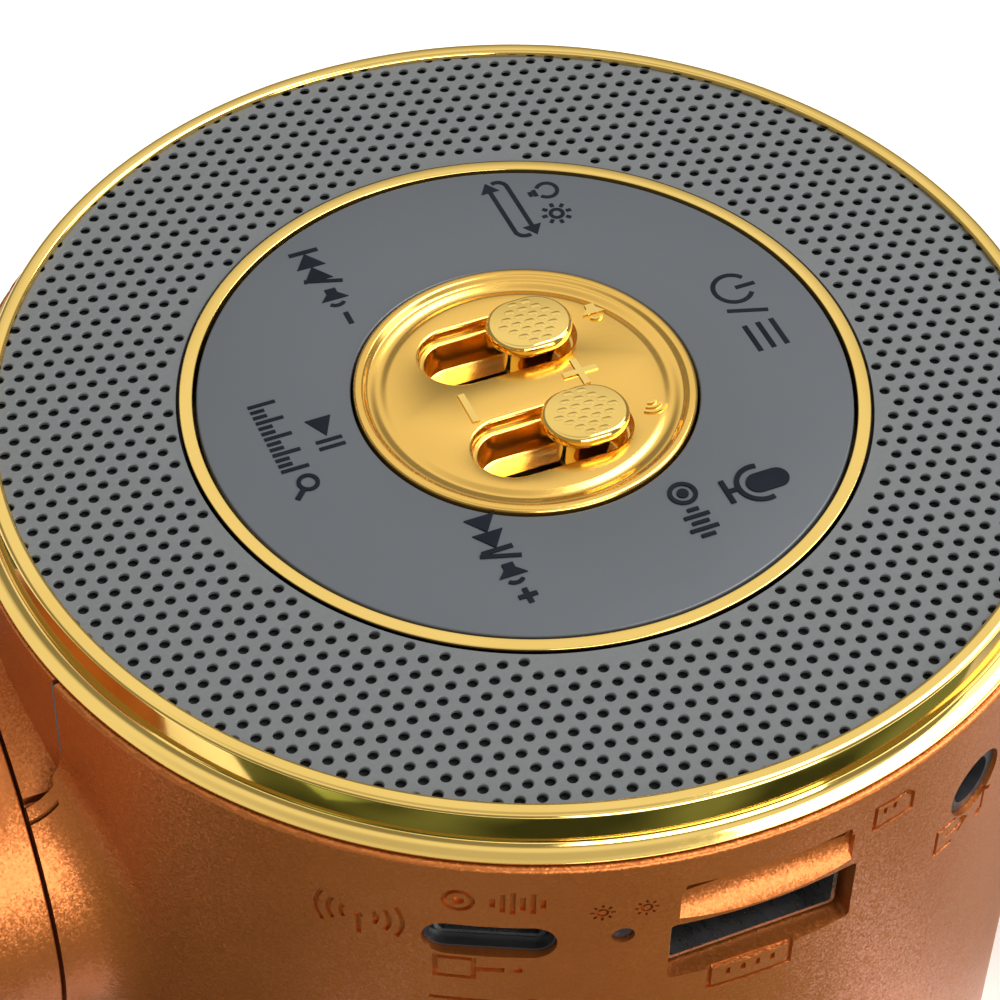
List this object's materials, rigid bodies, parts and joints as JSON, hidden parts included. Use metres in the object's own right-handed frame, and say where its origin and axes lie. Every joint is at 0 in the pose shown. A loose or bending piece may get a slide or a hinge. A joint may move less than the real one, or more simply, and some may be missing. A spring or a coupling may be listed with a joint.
{
  "type": "karaoke microphone",
  "caption": "Hand microphone with a drum-shaped speaker housing, perforated grille, key ring, slide controls, side sockets, ball head and round handle.",
  "frame": {"origin": "on the axis of the speaker drum, in the plane of its back face, on which the microphone lies", "axes": "+X along the microphone towards its ball head, +Z out of the control face, ports on the -Y side"},
  "size_m": [0.247, 0.0838, 0.0771],
  "materials": {
    "copper_paint": "satin copper metallic paint with a fine sparkle",
    "gold_plate": "polished gold plating",
    "satin_gold": "satin gold plating",
    "grille_grey": "matt grey paint on perforated sheet",
    "key_grey": "glossy gunmetal",
    "black_plastic": "matt black",
    "steel": "bright pressed steel",
    "zinc_screw": "zinc plated",
    "board_green": "green solder mask",
    "chip_black": "moulded black",
    "lens_clear": "clear light pipe",
    "magnet_dark": "dark ferrite",
    "cone_black": "treated paper",
    "cell_wrap": "blue shrink sleeve",
    "mesh_gold": "woven steel wire, gold",
    "foam_black": "open-cell foam",
    "rubber_black": "soft black"
  },
  "bodies": {
    "housing": {"audio_jack": "black_plastic", "back_centre_plate": "satin_gold", "back_frame": "black_plastic", "back_grille": "grille_grey", "back_rim": "gold_plate", "back_speaker_basket": "steel", "back_speaker_cone": "cone_black", "back_speaker_magnet": "magnet_dark", "battery_cell": "cell_wrap", "battery_contacts": "steel", "battery_cradle": "black_plastic", "board_chips": "chip_black", "capsule_holder": "rubber_black", "card_socket": "steel", "centre_plate": "satin_gold", "collar_trim_ring": "gold_plate", "control_board": "board_green", "drum_housing": "copper_paint", "echo_fader": "steel", "front_frame": "black_plastic", "front_grille": "grille_grey", "front_rim": "gold_plate", "front_screws": "zinc_screw", "front_speaker_basket": "steel", "front_speaker_cone": "cone_black", "front_speaker_magnet": "magnet_dark", "handle_end_cap": "copper_paint", "handle_trim_ring": "gold_plate", "handle_tube": "copper_paint", "head_collar": "copper_paint", "inner_trim_ring": "satin_gold", "led_lens": "lens_clear", "mic_capsule": "steel", "micro_usb_socket": "steel", "micro_usb_tongue": "black_plastic", "neck_plate": "black_plastic", "seam_sleeve": "black_plastic", "tact_switches": "chip_black", "usb_socket": "steel", "usb_tongue": "black_plastic", "volume_fader": "steel"},
    "key_ring": {"control_ring": "key_grey"},
    "volume_control": {"volume_knob": "gold_plate", "volume_lever": "black_plastic"},
    "echo_control": {"echo_knob": "gold_plate", "echo_lever": "black_plastic"},
    "ball_head": {"head_thread_ring": "gold_plate", "lower_mesh": "mesh_gold", "upper_mesh": "mesh_gold", "head_band": "gold_plate", "head_foam": "foam_black"}
  },
  "joints": [
    {"name": "volume_slide", "type": "slide", "parent": "housing", "child": "volume_control", "axis": [1, 0, 0], "range_m": [-0.006, 0]},
    {"name": "echo_slide", "type": "slide", "parent": "housing", "child": "echo_control", "axis": [1, 0, 0], "range_m": [-0.006, 0]},
    {"name": "key_press", "type": "slide", "parent": "housing", "child": "key_ring", "axis": [0, 0, -1], "range_m": [0, 0.0004], "stiffness_N_per_m": 2500, "springref_m": -0.0002},
    {"name": "head_turn", "type": "hinge", "parent": "housing", "child": "ball_head", "pos_m": [0.0577, 0, 0.048], "axis": [1, 0, 0], "range_deg": [0, 360]}
  ]
}
